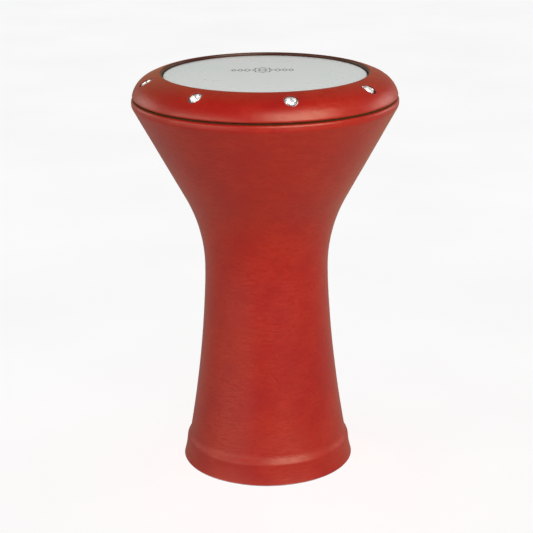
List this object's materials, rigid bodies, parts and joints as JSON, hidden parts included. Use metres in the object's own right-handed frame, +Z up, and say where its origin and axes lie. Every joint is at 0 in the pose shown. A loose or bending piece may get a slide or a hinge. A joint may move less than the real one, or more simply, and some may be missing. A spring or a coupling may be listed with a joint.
{
  "type": "goblet drum",
  "caption": "Leather-covered goblet drum with a cast aluminium shell, a pale synthetic head and a rounded clamping collar held by recessed socket bolts.",
  "frame": {"origin": "centre of the foot's base, on the surface that the drum stands on", "axes": "+Z up along the drum's axis, from foot to head; -Y is the side that the reference view faces; +X is to the right in that view"},
  "size_m": [0.2799, 0.28, 0.4309],
  "materials": {
    "red_leather": "satin red leather with fine grain and faint creases",
    "cast_aluminium": "fine sand-cast surface, machined at the bearing edge and seats",
    "head_film": "smooth milky synthetic film",
    "hoop_aluminium": "rolled bright aluminium",
    "resin": "cured amber casting resin",
    "bolt_steel": "bright zinc-plated steel, knurled head",
    "washer_steel": "plain stamped steel"
  },
  "bodies": {
    "shell": {"shell": "cast_aluminium", "shell_cover": "red_leather"},
    "collar": {"collar": "cast_aluminium", "collar_cover": "red_leather"},
    "head": {"head_film": "head_film", "head_hoop": "hoop_aluminium", "head_resin": "resin"},
    "washer_1": {"washer_1": "washer_steel"},
    "bolt_1": {"tuning_bolt_1": "bolt_steel"},
    "washer_2": {"washer_2": "washer_steel"},
    "bolt_2": {"tuning_bolt_2": "bolt_steel"},
    "washer_3": {"washer_3": "washer_steel"},
    "bolt_3": {"tuning_bolt_3": "bolt_steel"},
    "washer_4": {"washer_4": "washer_steel"},
    "bolt_4": {"tuning_bolt_4": "bolt_steel"},
    "washer_5": {"washer_5": "washer_steel"},
    "bolt_5": {"tuning_bolt_5": "bolt_steel"},
    "washer_6": {"washer_6": "washer_steel"},
    "bolt_6": {"tuning_bolt_6": "bolt_steel"},
    "washer_7": {"washer_7": "washer_steel"},
    "bolt_7": {"tuning_bolt_7": "bolt_steel"},
    "washer_8": {"washer_8": "washer_steel"},
    "bolt_8": {"tuning_bolt_8": "bolt_steel"}
  },
  "joints": [
    {"name": "collar_lift", "type": "slide", "parent": "shell", "child": "collar", "axis": [0, 0, 1], "range_m": [0, 0.07]},
    {"name": "head_lift", "type": "slide", "parent": "shell", "child": "head", "axis": [0, 0, 1], "range_m": [0, 0.035]},
    {"name": "bolt_rise_1", "type": "slide", "parent": "collar", "child": "washer_1", "axis": [0, 0, 1], "range_m": [0, 0.013]},
    {"name": "bolt_turn_1", "type": "hinge", "parent": "washer_1", "child": "bolt_1", "pos_m": [0.02503, -0.12196, 0.4166], "axis": [0, 0, 1], "range_deg": [0, 4680.01]},
    {"name": "bolt_rise_2", "type": "slide", "parent": "collar", "child": "washer_2", "axis": [0, 0, 1], "range_m": [0, 0.013]},
    {"name": "bolt_turn_2", "type": "hinge", "parent": "washer_2", "child": "bolt_2", "pos_m": [0.10394, -0.06853, 0.4166], "axis": [0, 0, 1], "range_deg": [0, 4680.01]},
    {"name": "bolt_rise_3", "type": "slide", "parent": "collar", "child": "washer_3", "axis": [0, 0, 1], "range_m": [0, 0.013]},
    {"name": "bolt_turn_3", "type": "hinge", "parent": "washer_3", "child": "bolt_3", "pos_m": [0.12196, 0.02503, 0.4166], "axis": [0, 0, 1], "range_deg": [0, 4680.01]},
    {"name": "bolt_rise_4", "type": "slide", "parent": "collar", "child": "washer_4", "axis": [0, 0, 1], "range_m": [0, 0.013]},
    {"name": "bolt_turn_4", "type": "hinge", "parent": "washer_4", "child": "bolt_4", "pos_m": [0.06853, 0.10394, 0.4166], "axis": [0, 0, 1], "range_deg": [0, 4680.01]},
    {"name": "bolt_rise_5", "type": "slide", "parent": "collar", "child": "washer_5", "axis": [0, 0, 1], "range_m": [0, 0.013]},
    {"name": "bolt_turn_5", "type": "hinge", "parent": "washer_5", "child": "bolt_5", "pos_m": [-0.02503, 0.12196, 0.4166], "axis": [0, 0, 1], "range_deg": [0, 4680.01]},
    {"name": "bolt_rise_6", "type": "slide", "parent": "collar", "child": "washer_6", "axis": [0, 0, 1], "range_m": [0, 0.013]},
    {"name": "bolt_turn_6", "type": "hinge", "parent": "washer_6", "child": "bolt_6", "pos_m": [-0.10394, 0.06853, 0.4166], "axis": [0, 0, 1], "range_deg": [0, 4680.01]},
    {"name": "bolt_rise_7", "type": "slide", "parent": "collar", "child": "washer_7", "axis": [0, 0, 1], "range_m": [0, 0.013]},
    {"name": "bolt_turn_7", "type": "hinge", "parent": "washer_7", "child": "bolt_7", "pos_m": [-0.12196, -0.02503, 0.4166], "axis": [0, 0, 1], "range_deg": [0, 4680.01]},
    {"name": "bolt_rise_8", "type": "slide", "parent": "collar", "child": "washer_8", "axis": [0, 0, 1], "range_m": [0, 0.013]},
    {"name": "bolt_turn_8", "type": "hinge", "parent": "washer_8", "child": "bolt_8", "pos_m": [-0.06853, -0.10394, 0.4166], "axis": [0, 0, 1], "range_deg": [0, 4680.01]}
  ],
  "couplings": [
    {"joint": "head_lift", "follows": "collar_lift", "ratio": 0.5},
    {"joint": "bolt_turn_1", "follows": "bolt_rise_1", "rad_per_m": 6283.2},
    {"joint": "bolt_turn_2", "follows": "bolt_rise_2", "rad_per_m": 6283.2},
    {"joint": "bolt_turn_3", "follows": "bolt_rise_3", "rad_per_m": 6283.2},
    {"joint": "bolt_turn_4", "follows": "bolt_rise_4", "rad_per_m": 6283.2},
    {"joint": "bolt_turn_5", "follows": "bolt_rise_5", "rad_per_m": 6283.2},
    {"joint": "bolt_turn_6", "follows": "bolt_rise_6", "rad_per_m": 6283.2},
    {"joint": "bolt_turn_7", "follows": "bolt_rise_7", "rad_per_m": 6283.2},
    {"joint": "bolt_turn_8", "follows": "bolt_rise_8", "rad_per_m": 6283.2}
  ]
}
